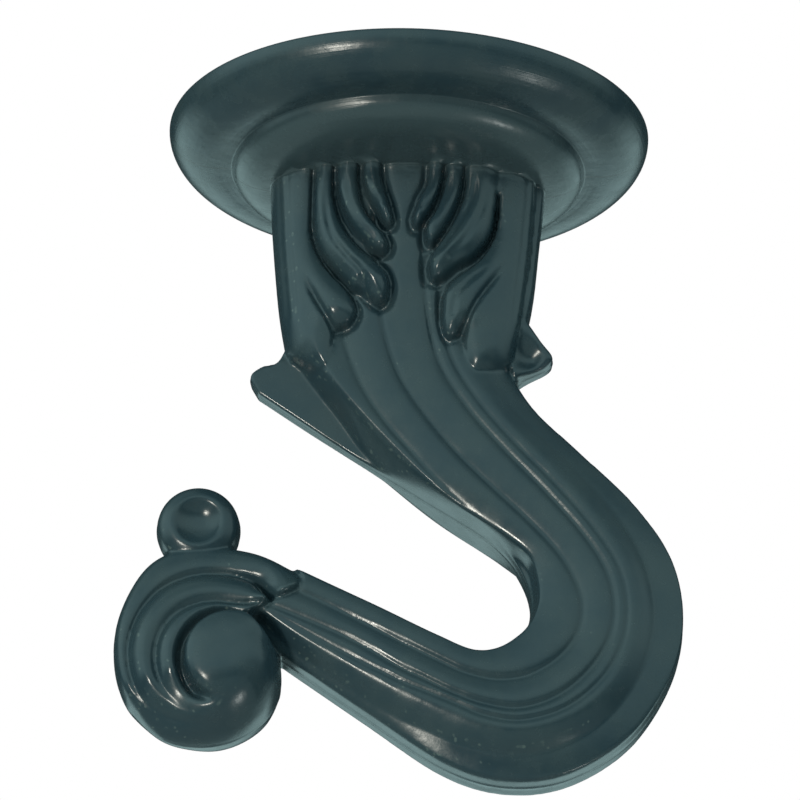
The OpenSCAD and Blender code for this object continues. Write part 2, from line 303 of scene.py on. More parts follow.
HOLE_R, HOLE_DEPTH = 2.45, 25.0
COUNTERBORE_R, COUNTERBORE_DEPTH = 3.3, 9.2
CUTTER_TURNS, CUTTER_TOP = 96, 1

BOLT_BOTTOM, BOLT_TOP, BOLT_STEP = -24.5, 8.0, 0.07
BOLT_TURNS = 72
BOLT_R, BOLT_END_R, SHANK_R = 2.4, 1.9, 2.0
MACHINE_PITCH, MACHINE_ROOT_R, MACHINE_DEPTH = 1.058, 1.85, 0.55
MACHINE_END_Z = (-8.9, -8.5)
WOOD_PITCH, WOOD_START_Z = 2.1, (-6.9, -6.4)
WOOD_ROOT_Z, WOOD_ROOT_R = (-6.6, 3.5, 8), (1.75, 1.7, 0.15)
WOOD_CREST_Z, WOOD_CREST_R = (-7.2, -6.0, 3.9, 8), (1.9, 2.4, 2.4, 0.3)
MACHINE_FLANK, WOOD_FLANK = (1.25, 0.12), (2.6, 1.5)    # how steep, and how wide the root is

# ------------------------------------------------------------------ the grid over the hook's plane
X_RANGE = (-22.3, 22.4)
Z_RANGE = (-55.3, -2.6)
Y_MAX = 7.4
VOXEL = 0.13
LINE_STEPS = 14
SHORT_LINE_STEPS = 6
NO_SURFACE = -9.0                 # a half thickness lower than any surface
STEEPEST = 6                      # the slope up to which a distance to the surface is corrected

X, Z = np.meshgrid(np.arange(*X_RANGE, VOXEL), np.arange(*Z_RANGE, VOXEL), indexing="ij")


# ------------------------------------------------------------------ small tools
def curve(points, steps=10):
    """A smooth Catmull-Rom curve through the points."""
    p = np.array(points, float)
    p = np.vstack([2 * p[0] - p[1], p, 2 * p[-1] - p[-2]])
    t = (np.arange(steps) / steps)[:, None]
    spans = [0.5 * (2 * b + (c - a) * t + (2 * a - 5 * b + 4 * c - d) * t ** 2
                    + (3 * b - a - 3 * c + d) * t ** 3)
             for a, b, c, d in zip(p[:-3], p[1:-2], p[2:-1], p[3:])]
    return np.vstack(spans + [p[-2:-1]])


def follow(path):
    """Distance to a path, signed + on its left, and how far along it (0 to 1), over the grid."""
    best = np.full(X.shape, np.inf)
    side = np.zeros(X.shape)
    along = np.zeros(X.shape)
    for i, (a, b) in enumerate(zip(path[:-1], path[1:])):
        d = b - a
        t = np.clip(((X - a[0]) * d[0] + (Z - a[1]) * d[1]) / (d @ d), 0, 1)
        dx, dz = X - a[0] - t * d[0], Z - a[1] - t * d[1]
        q = dx * dx + dz * dz
        near = q < best
        best[near] = q[near]
        side[near] = np.where(d[0] * dz - d[1] * dx >= 0, 1, -1)[near]
        along[near] = (i + t[near]) / (len(path) - 1)
    return np.sqrt(best) * side, along


def inside(loop):
    """True at the grid points inside a closed loop."""
    odd = np.zeros(X.shape, bool)
    for a, b in zip(loop, np.roll(loop, -1, axis=0)):
        if a[1] != b[1]:
            crosses = (a[1] > Z) != (b[1] > Z)
            odd ^= crosses & (X < (b[0] - a[0]) * (Z - a[1]) / (b[1] - a[1]) + a[0])
    return odd


def ease(start, end, v):
    """0 where v is at or before start, 1 where it is at or past end, and smooth between."""
    t = np.clip((v - start) / (end - start), 0, 1)
    return t * t * (3 - 2 * t)


def soft_max(a, b, k):
    """The greater of a and b, rounded where they meet over a width of about k."""
    h = np.clip(0.5 + 0.5 * (a - b) / k, 0, 1)
    return b + (a - b) * h + k * h * (1 - h)


def soften(field, width):
    """A Gaussian blur of a grid field, width in millimetres."""
    reach = max(1, int(round(3 * width / VOXEL)))
    steps = np.arange(-reach, reach + 1)
    weights = np.exp(-0.5 * (steps * VOXEL / width) ** 2)
    weights /= weights.sum()
    for axis in (0, 1):
        pad = [(reach, reach) if a == axis else (0, 0) for a in (0, 1)]
        padded = np.pad(field, pad, mode="edge")
        n = field.shape[axis]
        field = sum(w * np.take(padded, range(i, i + n), axis=axis) for i, w in enumerate(weights))
    return field


def ridge(distance, width):
    """1 at a distance of 0, falling away like a bell on both sides."""
    return np.exp(-(distance / width) ** 2)


def bump_at(x, z, radius):
    return np.exp(-((X - x) ** 2 + (Z - z) ** 2) / radius ** 2)


def dome(u, power=2.0):
    """1 at u = 0, falling like a round to 0 at u = 1."""
    return np.maximum(1 - np.abs(np.clip(u, -1, 1)) ** power, 0) ** (1 / power)


def between(near, far):
    """How far across each place is, from one line (0) to another (1), by its distance to each."""
    return np.clip(near / (near + far + 1e-6), 0, 1)


# ------------------------------------------------------------------ half thickness of the casting
def neck_half():
    """Half depth of the neck's plain oval form."""
    half_width = np.interp(Z, NECK_Z, NECK_HALF_WIDTH)
    return np.interp(Z, NECK_Z, NECK_HALF_DEPTH) * dome(X / half_width, NECK_OVAL)


def strip_drop(gaps, arm):
    """How far the strips between the lines lie below the bar's crown."""
    drops = [np.full(X.shape, depth) for depth in LINE_DROP]
    slant = INNER_SLANT * ease(*SLANT_START_Z, Z) * ease(*SLANT_END_Z, Z)
    drops[1] = drops[1] + INNER_FALL * ease(*INNER_FALL_Z, Z) + slant
    drops[5] = drops[5] * (SHOULDER_SHARE + (1 - SHOULDER_SHARE) * ease(*SHOULDER_Z, Z))
    drop = np.zeros(X.shape)
    for k, (left, right) in enumerate(zip(gaps[:-1], gaps[1:])):
        f = np.clip(left / (left - right + 1e-6), 0, 1)
        if k < len(STRIP_POWERS):
            p, q = STRIP_POWERS[k]
            q = q + (min(q, ARM_POWER) - q) * arm
            fall = drops[k] * (1 - f) ** p + drops[k + 1] * f ** q
            if k == 1:
                fall = fall + slant * ((1 - f) - (1 - f) ** p)
        else:
            fall = drops[k] + (drops[k + 1] - drops[k]) * f ** BAND_POWER
        drop = np.where((left >= 0) & (right < 0), fall, drop)
    return drop


def wall_ramp(foot_gap):
    """0 at the foot of the bar's inner wall, rising to 1 at its rounded arris."""
    arris_gap = follow(curve(ARRIS, LINE_STEPS))[0]
    ramp = np.clip(foot_gap / np.maximum(foot_gap - arris_gap, 0.05), 0, 1.6)
    rounding = ARRIS_ROUND * (1 - ARRIS_SHARPER * ease(*ARRIS_SHARPER_X, X))
    return np.clip(-soft_max(-ramp, -1.0, rounding), 0, 1)


def bar_half(neck, edge_half):
    """Half thickness of the fluted bar, which flows out of the neck, and distances to its lines."""
    gaps = [follow(curve(line, LINE_STEPS))[0] for line in LINES]
    across = np.clip(gaps[0] / (gaps[0] - gaps[-1] + 1e-6), 0, 1)
    arm = ease(*ARM_X, X) * ease(*ARM_Z, Z)
    crown = BAR_HALF + (ARM_HALF - BAR_HALF) * arm - CROWN_FALL * (2 * across - 1) ** 2
    base = neck - LEAF_FLOOR
    base = base + (crown - base) * ease(*NECK_TO_BAR_Z, Z)
    drop = strip_drop(gaps, arm)
    groove = 1 - (1 - DIAGONAL_GROOVE) * ease(*DIAGONAL_END_Z, Z) * ease(*DIAGONAL_START_Z, Z)
    groove = GROOVE_DEPTH * (groove - (1 - ARM_GROOVE) * arm)
    for gap in gaps[1:5]:
        drop += groove * ridge(gap, GROOVE_WIDTH)
    fluted = np.maximum(base - drop * ease(*FLUTES_START_Z, Z) ** 0.5, edge_half)
    fluted = np.where(gaps[-1] > 0, edge_half, fluted)
    return edge_half + (fluted - edge_half) * wall_ramp(gaps[0]), gaps


def leaf_half(neck):
    """Half thickness over the acanthus lobes, and how near each place beside them is (0 to 1)."""
    height = np.full(X.shape, NO_SURFACE)
    moat = np.zeros(X.shape)
    for outline, lift, rounding in LEAF:
        closed = curve(outline + outline[:1], SHORT_LINE_STEPS)
        depth_in = np.abs(follow(closed)[0])
        full_z = min(z for x, z in outline) + LOBE_FULL_ABOVE_TIP
        share = LOBE_ROOT_SHARE + (1 - LOBE_ROOT_SHARE) * ease(LOBE_ROOT_Z, full_z, Z)
        rise = LOBE_SIZE * lift * share
        section = dome(1 - np.clip(depth_in / (LOBE_SIZE * rounding), 0, 1), LOBE_POWER)
        within = inside(closed)
        height = np.maximum(height, np.where(within, neck - LEAF_FLOOR + rise * section, NO_SURFACE))
        moat = np.maximum(moat, np.where(within, 0, ridge(depth_in, MOAT_WIDTH)))
    for line, depth in LEAF_LINES:
        gap, along = follow(curve(line, SHORT_LINE_STEPS))
        height -= LEAF_LINE_DEPTH * depth * ridge(gap, LEAF_LINE_WIDTH) * ease(0, LEAF_LINE_START, along)
    return height, moat


def coils_half(edge, r, low):
    """Half thickness of the scroll's three coils; low is 1 at their lower ends."""
    groove_1 = follow(curve(COIL_GROOVE_1, SHORT_LINE_STEPS))[0]
    groove_2 = follow(curve(COIL_GROOVE_2, SHORT_LINE_STEPS))[0]
    lapping = ease(*LAPPING_X, X) * (Z > LAPPING_LOWEST_Z)

    def crown(f):
        return (1 - (2 * f - 1) ** 2) * (1 - LOW_CROWN_LOSS * low)

    f = between(edge, np.abs(groove_1))
    rounded = dome(1 - f / (OUTER_COIL_ROUND - LAPPING_ROUND * lapping), OUTER_COIL_POWER)
    outer = (OUTER_COIL_RISE + LAPPING_OUTER * lapping) * rounded * (1 - low)
    outer = SCROLL_EDGE_HALF + outer + LOW_SLANT * f ** LOW_SLANT_POWER * low
    outer = outer - OUTER_COIL_SINK * ease(OUTER_COIL_SINK_FROM, 1, f)
    f = between(np.abs(groove_1), np.abs(groove_2))
    middle = MIDDLE_COIL_HALF + LAPPING_MIDDLE * lapping + MIDDLE_COIL_SLOPE * f + COIL_CROWN * crown(f)
    f = between(np.abs(groove_2), np.maximum(r - BALL_SHOWS_R, 0))
    inner = INNER_COIL_HALF + INNER_COIL_SLOPE * f + COIL_CROWN * crown(f)
    return np.where(groove_1 < 0, outer, np.where(groove_2 < 0, middle, inner))


def scroll_half(edge_gap):
    """Half thickness of the scroll: a ball with coils lapped round it."""
    dx, dz = X - BALL_C[0], Z - BALL_C[1]
    r = np.hypot(dx, dz)
    angle = np.degrees(np.arctan2(dz, dx)) % 360
    edge = np.maximum(edge_gap, 0)
    coils = coils_half(edge, r, ease(*LOW_ANGLES, angle))
    ball = BALL_FOOT + BALL_RISE * dome(r / BALL_R, BALL_POWER)
    cleft = CLEFT_DEPTH * ridge(r - BALL_SHOWS_R - CLEFT_OUTSIDE, CLEFT_WIDTH) * ease(*CLEFT_ANGLES, angle)
    shell = np.where(r < BALL_SHOWS_R, ball, coils) - cleft
    s = r / (r + edge + 0.01)
    under = ease(*UNDER_START, angle) * ease(*UNDER_END, angle)
    plain = BALL_FOOT + BALL_RISE - SCROLL_EDGE_HALF
    plain = SCROLL_EDGE_HALF + plain * (1 - s ** BARE_POWER) ** (BARE_ROUND + UNDER_ROUND * under)
    bare = ease(*BARE_START, angle) + ease(*BARE_END, angle)
    return shell + (np.maximum(plain, 0) - shell) * np.clip(bare, 0, 1)


def finial_half():
    """Half thickness of the knob, which is dished inside a round rim, and the depth in from its edge."""
    r = np.hypot(X - FINIAL_C[0], Z - FINIAL_C[1])
    rim = FINIAL_EDGE_HALF + FINIAL_RISE * dome(r / FINIAL_R, FINIAL_POWER)
    dish = DISH_HALF + DISH_RISE * (r / DISH_R) ** DISH_POWER
    return -soft_max(-rim, -dish, DISH_SOFTNESS), FINIAL_R - r


def outline_gap():
    """Distance in from the hook's outline, negative outside it."""
    loop = np.vstack([curve(stretch)[:-1] for stretch in OUTLINE])
    return np.abs(follow(np.vstack([loop, loop[:1]]))[0]) * np.where(inside(loop), 1, -1)


def edge_thickness():
    """Half thickness of the casting at its edge."""
    thin = sum(share * bump_at(x, z, radius) for x, z, radius, share in THIN_SPOTS)
    thin = np.clip(thin + ease(*NECK_EDGE_Z, Z), 0, THIN_MOST)
    return EDGE_HALF - (EDGE_HALF - EAR_EDGE_HALF) * thin


def with_neck_details(half):
    """Adds the beads at the neck's sides and the flash under the canopy."""
    past_side = np.abs(X) - np.interp(Z, NECK_Z, NECK_HALF_WIDTH)
    for inset in BEAD_INSETS:
        half = half - BEAD_DEPTH * ridge(past_side + inset, BEAD_WIDTH) * ease(*BEAD_END_Z, Z)
    uneven = 0.55 + 0.3 * np.sin(3.1 * X + 0.4) + 0.15 * np.sin(7.7 * X + 1.9)
    return half + FLASH_HEIGHT * uneven * ridge(Z + CANOPY_H + FLASH_BELOW_CANOPY, FLASH_WIDTH)


def with_right_ear(half, edge_half, edge_gap, outside_bar):
    scoop = SCOOP_RIM - SCOOP_RIM * bump_at(*SCOOP_C, SCOOP_R)
    scoop = edge_half + scoop * dome(1 - np.clip(edge_gap / SCOOP_ROUND, 0, 1))
    return np.where(outside_bar & (Z > EAR_LOWEST_Z), scoop, half)


def with_scroll(half, edge_gap):
    """Adds the scroll, whose coils lap the arm, with a groove along the lap."""
    lap = follow(curve(LAP_EDGE, SHORT_LINE_STEPS))[0]
    around = (X < SCROLL_X) & (Z < SCROLL_Z)
    half = np.where((lap > 0) & around, scroll_half(edge_gap), half)
    return half - LAP_DEPTH * ridge(lap, LAP_WIDTH) * around * ease(*LAP_FROM_EDGE, edge_gap)


def casting_fields():
    """Half thickness and distance in from the edge, over the hook's own plane."""
    edge_gap = outline_gap()
    edge_half = edge_thickness()
    neck = neck_half()
    half, gaps = bar_half(neck, edge_half)
    leaf, moat = leaf_half(neck)
    with_leaf = soft_max(half - MOAT_DEPTH * moat * ease(*MOAT_END_Z, Z), leaf, LOBE_JOIN)
    half = np.where(Z > LEAF_LOWEST_Z, with_leaf, half)
    half = with_neck_details(half)
    half = with_right_ear(half, edge_half, edge_gap, gaps[-1] > 0)
    half = with_scroll(half, edge_gap)
    knob, knob_gap = finial_half()
    half = np.where(knob_gap > edge_gap, knob, np.maximum(half, np.where(knob_gap > 0, knob, 0)))
    edge_gap = soft_max(edge_gap, knob_gap, FINIAL_JOIN)
    edge_gap = edge_gap + BURR_RISE * bump_at(*BURR, BURR_R)
    return soften(half, SURFACE_SOFTNESS), edge_gap


def hook_mesh_data():
    """Vertices and quads of the neck, hook, scroll and finial."""
    half, edge_gap = casting_fields()
    slope = np.hypot(*np.gradient(half, VOXEL))
    scale = 1 / np.sqrt(1 + np.minimum(slope, STEEPEST) ** 2)
    y = np.arange(0, Y_MAX, VOXEL)
    face = (y - half[:, :, None]) * scale[:, :, None]
    parting = PARTING_RIDGE * ridge(y, PARTING_WIDTH)
    rim = PARTING_RIDGE - parting - edge_gap[:, :, None]
    solid = soft_max(face, rim, EDGE_ROUND)
    solid = np.maximum(solid, Z[0][None, :, None] - HOOK_TOP)
    band = 3 * VOXEL
    solid = np.clip(np.concatenate([solid[:, :, :0:-1], solid], axis=2), -band, band)
    grid = openvdb.FloatGrid(band)
    grid.copyFromArray(np.ascontiguousarray(solid, np.float32))
    points, quads = grid.convertToQuads(isovalue=0.0)
    points = points * VOXEL + np.array([X_RANGE[0], Z_RANGE[0], -(len(y) - 1) * VOXEL])
    return points[:, [0, 2, 1]], quads


# ------------------------------------------------------------------ mesh tools
def add_object(name, mesh):
    piece = bpy.data.objects.new(name, mesh)
    bpy.context.scene.collection.objects.link(piece)
    return piece


def from_bmesh(name, bm):
    mesh = bpy.data.meshes.new(name)
    bm.to_mesh(mesh)
    bm.free()
    return add_object(name, mesh)


def from_points(name, points, faces):
    """An object from points and faces, with its normals turned outwards."""
    mesh = bpy.data.meshes.new(name)
    mesh.from_pydata(points.tolist(), [], faces)
    mesh.update()
    bm = bmesh.new()
    bm.from_mesh(mesh)
    bmesh.ops.recalc_face_normals(bm, faces=bm.faces)
    bm.to_mesh(mesh)
    bm.free()
    return add_object(name, mesh)


def apply_modifiers(piece):
    graph = bpy.context.evaluated_depsgraph_get()
    made = bpy.data.meshes.new_from_object(piece.evaluated_get(graph))
    piece.modifiers.clear()
    piece.data = made


def relax(piece, rounds, factor):
    """Evens out the surface a little, as enamel does."""
    smooth = piece.modifiers.new("smooth", "SMOOTH")
    smooth.iterations = rounds
    smooth.factor = factor
    apply_modifiers(piece)


def combine(piece, others, operation):
    """Joins other solids on to the piece, or cuts them out of it, and removes them."""
    for other in others:
        step = piece.modifiers.new("combine", "BOOLEAN")
        step.object, step.operation, step.solver = other, operation, "MANIFOLD"
    apply_modifiers(piece)
    for other in others:
        bpy.data.objects.remove(other)


def lathe(name, profile, turns):
    """A closed solid turned about the Z axis from (radius, z) points; radius 0 closes it."""
    bm = bmesh.new()
    rings = []
    for r, z in profile:
        if r < 1e-6:
            rings.append([bm.verts.new((0, 0, z))])
        else:
            rings.append([bm.verts.new((r * math.cos(a), r * math.sin(a), z))
                          for a in np.linspace(0, 2 * math.pi, turns, endpoint=False)])
    for low, high in zip(rings, rings[1:] + rings[:1]):
        for i in range(turns):
            corners = [low[i % len(low)], low[(i + 1) % len(low)],
                       high[(i + 1) % len(high)], high[i % len(high)]]
            unique = list(dict.fromkeys(corners))
            if len(unique) > 2:
                bm.faces.new(unique)
    bmesh.ops.recalc_face_normals(bm, faces=bm.faces)
    return from_bmesh(name, bm)


# ------------------------------------------------------------------ casting
def arc(r0, z0, width, height, start, end, count):
    """Points of an elliptical arc about (r0, z0), angles in degrees."""
    return [(r0 + width * math.cos(math.radians(a)), z0 + height * math.sin(math.radians(a)))
            for a in np.linspace(start, end, count)]


def make_canopy():
    """The canopy, turned: its raised disc and shoulder below, its cup, pocket and boss above."""
    shelf = WALL - SHOULDER_H
    floor = WALL - CANOPY_H
    pocket = DISC_R - WALL
    inner_r = CANOPY_R - WALL
    face = [(r, -CANOPY_H) for r in DISC_FACE_RINGS]
    disc = arc(DISC_R - OVOLO_W, OVOLO_H - CANOPY_H, OVOLO_W, OVOLO_H, -90, -8, 20)
    disc_foot = arc(DISC_R + 0.2, -SHOULDER_H - 0.12, 0.16, 0.12, 180, 90, 5)
    shoulder = arc(CANOPY_R - SHOULDER_W, -RIM_ROUND, SHOULDER_W, SHOULDER_H - RIM_ROUND, -90, 0, 28)
    rim = arc(CANOPY_R - RIM_ROUND, -RIM_ROUND, RIM_ROUND, RIM_ROUND, 15, 90, 5)
    lip = arc(inner_r + LIP_ROUND, -LIP_ROUND, LIP_ROUND, LIP_ROUND, 90, 180, 4)
    cup = arc(inner_r - SHOULDER_W, -CUP_TOP, SHOULDER_W, -shelf - CUP_TOP, 0, -90, 14)
    pocket_wall = [
        (pocket + 0.4, shelf), (pocket + 0.1, shelf - 0.1), (pocket, shelf - 0.4),
        (pocket - 0.1, floor + 0.4), (pocket - 0.5, floor)]
    boss = [
        (BOSS_R + 0.5, floor), (BOSS_R + 0.1, floor + 0.4), (BOSS_R, -BOSS_DROP - 0.3),
        (BOSS_R - 0.3, -BOSS_DROP), (0, -BOSS_DROP)]
    profile = face + disc + disc_foot + shoulder + rim + lip + cup + pocket_wall + boss
    return lathe("canopy", profile, CANOPY_TURNS)


def make_rib(turn):
    """A web in the canopy's cup, from the boss to the pocket's wall."""
    into_boss, into_wall, into_floor = RIB_SINKS_IN
    inner, outer = BOSS_R - into_boss, DISC_R - WALL + into_wall
    low, high = WALL - CANOPY_H - into_floor, WALL - SHOULDER_H
    bm = bmesh.new()
    bmesh.ops.create_cube(bm, size=1)
    for v in bm.verts:
        x, y, z = v.co
        v.co = ((inner + outer) / 2 + x * (outer - inner), y * RIB_T, (low + high) / 2 + z * (high - low))
    upper = [e for e in bm.edges if all(v.co.z > high - 0.01 for v in e.verts)]
    lengthwise = [e for e in upper if abs(e.verts[0].co.y - e.verts[1].co.y) < 0.1]
    bmesh.ops.bevel(bm, geom=lengthwise, offset=RIB_ROUND, segments=3, affect="EDGES", profile=0.5)
    bmesh.ops.rotate(bm, verts=bm.verts, matrix=Quaternion((0, 0, 1), turn).to_matrix())
    return from_bmesh("rib", bm)


def cutter(name, radius, depth):
    """A plain round cutter, from a depth below the ceiling to just above it."""
    profile = [(0, -depth), (radius, -depth), (radius, CUTTER_TOP), (0, CUTTER_TOP)]
    return lathe(name, profile, CUTTER_TURNS)


def make_casting():
    points, quads = hook_mesh_data()
    hook = from_points("hook_casting_form", points, quads.tolist())
    relax(hook, rounds=2, factor=0.5)
    canopy = make_canopy()
    ribs = [make_rib((i + 0.5) * 2 * math.pi / RIBS) for i in range(RIBS)]
    combine(canopy, [hook] + ribs, "UNION")
    hole = cutter("hole", HOLE_R, HOLE_DEPTH)
    counterbore = cutter("counterbore", COUNTERBORE_R, COUNTERBORE_DEPTH)
    combine(canopy, [hole, counterbore], "DIFFERENCE")
    canopy.name = "hook_casting_form"
    return canopy


# ------------------------------------------------------------------ bolt
def bolt_radius(z, turn):
    """Radius of the hanger bolt: machine thread below, plain shank, wood thread and gimlet point."""
    def thread(pitch, flank):
        """0 at the thread's root and 1 on its crest, as a helix."""
        steepness, root_width = flank
        near_crest = np.abs((z / pitch - turn / (2 * math.pi)) % 1 - 0.5) * 2
        return np.clip(steepness * near_crest - root_width, 0, 1)

    machine = MACHINE_ROOT_R + MACHINE_DEPTH * thread(MACHINE_PITCH, MACHINE_FLANK)
    root = np.interp(z, WOOD_ROOT_Z, WOOD_ROOT_R)
    crest = np.interp(z, WOOD_CREST_Z, WOOD_CREST_R)
    wood = root + (crest - root) * thread(WOOD_PITCH, WOOD_FLANK)
    radius = machine + (SHANK_R - machine) * ease(*MACHINE_END_Z, z)
    radius = radius + (wood - radius) * ease(*WOOD_START_Z, z)
    radius = np.minimum(radius, BOLT_END_R + (z - BOLT_BOTTOM))
    return np.minimum(radius, BOLT_R)


def make_bolt():
    """The bolt as a grid of rings up its length, closed by a point at each end."""
    z = np.arange(BOLT_BOTTOM, BOLT_TOP + 0.001, BOLT_STEP)
    turn = np.linspace(0, 2 * math.pi, BOLT_TURNS, endpoint=False)
    zz, tt = np.meshgrid(z, turn, indexing="ij")
    radius = bolt_radius(zz, tt)
    rings = np.stack([radius * np.cos(tt), radius * np.sin(tt), zz], axis=-1)
    points = np.vstack([rings.reshape(-1, 3), [[0, 0, z[0]], [0, 0, z[-1]]]])
    n, m = zz.shape
    i, j = np.meshgrid(np.arange(n - 1), np.arange(m), indexing="ij")
    faces = np.stack([i * m + j, i * m + (j + 1) % m, (i + 1) * m + (j + 1) % m, (i + 1) * m + j], -1)
    faces = faces.reshape(-1, 4).tolist()
    last = (n - 1) * m
    faces += [[(k + 1) % m, k, n * m] for k in range(m)]
    faces += [[last + k, last + (k + 1) % m, n * m + 1] for k in range(m)]
    return from_points("hanger_bolt_form", points, faces)


# ------------------------------------------------------------------ materials
# Colours are linear RGB. A texture is its noise's scale per metre, its detail and its roughness.
ENAMEL_DARK, ENAMEL_PALE = (0.024, 0.046, 0.058), (0.036, 0.058, 0.066)
# A paler colour for the hook's sharp edges: partly real wear, partly a painted highlight where grazing
# light catches the rims.
RUBBED_AND_SHEEN_COLOUR = (0.085, 0.115, 0.112)
# Painted light and shade: the raised disc's face gets its own lighter tone, which stands in for how its
# downward face is lit.
FACE_PAINTED_LIGHT_COLOUR = (0.052, 0.078, 0.086)
PARTING_COLOUR, PARTING_STRENGTH = (0.008, 0.012, 0.014), 0.7
ENAMEL_CLOUD = (260, 5, 0.6)
ENAMEL_SHEEN, ENAMEL_ROUGHNESS = (520, 5, 0.65), (0.19, 0.29)
PEEL, PEEL_HEIGHT = (900, 3, 0.5), 0.00002
GRAIN, GRAIN_HEIGHT = (5200, 3, 0.6), 0.0000045
# Noise and pointiness that place the paler edges, which are partly wear and partly a painted highlight.
RUB_AND_SHEEN, RUB_AND_SHEEN_SPAN, RUB_AND_SHEEN_SHARE = (900, 3, 0.55), (0.4, 0.62), (0.1, 1)
RUBBED_AND_SHEEN_POINTINESS = (0.58, 0.66)
MARKS, MARKS_HEIGHT, MARKS_ROUGHNESS = (5200, 3, 0.7), 0.000025, 0.06
PATCHES, PATCHES_SPAN, PATCHES_SHARE = (160, 3, 0.5), (0.35, 0.65), (0.25, 1)
CANOPY_FROM_Z = (-5.6 * MM, -5.0 * MM)        # where the hook ends and the canopy starts
FACE_WITHIN = (14.2 * MM, 13.4 * MM)          # the raised disc, by radius
PARTING_WITHIN = (0.16 * MM, 0.06 * MM)       # the parting line, by distance from the hook's plane

ZINC_DARK, ZINC_PALE = (0.46, 0.44, 0.38), (0.62, 0.61, 0.57)
ZINC_CLOUD = (420, 5, 0.6)
ZINC_FINE, ZINC_ROUGHNESS, ZINC_HEIGHT = (1800, 4, 0.6), (0.24, 0.42), 0.00001

NOISE_SPAN = (0.3, 0.7)                       # where most of a noise's values lie
FULL = (0, 1)


def new_material(name):
    material = bpy.data.materials.new(name)
    material.use_nodes = True
    return material, material.node_tree, material.node_tree.nodes["Principled BSDF"]


def map_range(tree, source, span, out):
    node = tree.nodes.new("ShaderNodeMapRange")
    node.interpolation_type = "SMOOTHSTEP"
    node.inputs["From Min"].default_value, node.inputs["From Max"].default_value = span
    node.inputs["To Min"].default_value, node.inputs["To Max"].default_value = out
    tree.links.new(source, node.inputs["Value"])
    return node.outputs["Result"]


def calculate(tree, operation, *values):
    """A Math node; each value is a number or a socket."""
    node = tree.nodes.new("ShaderNodeMath")
    node.operation = operation
    for socket, value in zip(node.inputs, values):
        if isinstance(value, bpy.types.NodeSocket):
            tree.links.new(value, socket)
        else:
            socket.default_value = value
    return node.outputs[0]


def product(tree, a, b):
    return calculate(tree, "MULTIPLY", a, b)


def noise(tree, where, texture):
    scale, detail, roughness = texture
    node = tree.nodes.new("ShaderNodeTexNoise")
    node.inputs["Scale"].default_value = scale
    node.inputs["Detail"].default_value = detail
    node.inputs["Roughness"].default_value = roughness
    tree.links.new(where, node.inputs["Vector"])
    return node.outputs["Fac"]


def blend(tree, factor, a, b):
    """A colour between a, which is a colour or a socket, and the colour b."""
    node = tree.nodes.new("ShaderNodeMix")
    node.data_type = "RGBA"
    tree.links.new(factor, node.inputs["Factor"])
    if isinstance(a, bpy.types.NodeSocket):
        tree.links.new(a, node.inputs["A"])
    else:
        node.inputs["A"].default_value = (*a, 1)
    node.inputs["B"].default_value = (*b, 1)
    return node.outputs["Result"]


def bump(tree, height, distance, under=None):
    node = tree.nodes.new("ShaderNodeBump")
    node.inputs["Strength"].default_value = 1
    node.inputs["Distance"].default_value = distance
    tree.links.new(height, node.inputs["Height"])
    if under:
        tree.links.new(under, node.inputs["Normal"])
    return node.outputs["Normal"]


def turned_marks(tree, where, radius, z):
    """Fine rings, as left by turning, which are stronger in some patches."""
    rings = tree.nodes.new("ShaderNodeCombineXYZ")
    tree.links.new(radius, rings.inputs[0])
    tree.links.new(z, rings.inputs[1])
    patches = map_range(tree, noise(tree, where, PATCHES), PATCHES_SPAN, PATCHES_SHARE)
    return product(tree, patches, noise(tree, rings.outputs[0], MARKS))


def rubbed_and_sheen_edges(tree, where):
    """1 on the sharpest edges, broken up by noise; these edges are painted paler, partly for wear and
    partly as a painted highlight of grazing light on the rims.
    """
    geometry = tree.nodes.new("ShaderNodeNewGeometry")
    sharp = map_range(tree, geometry.outputs["Pointiness"], RUBBED_AND_SHEEN_POINTINESS, FULL)
    return product(tree, sharp, map_range(tree, noise(tree, where, RUB_AND_SHEEN), RUB_AND_SHEEN_SPAN, RUB_AND_SHEEN_SHARE))


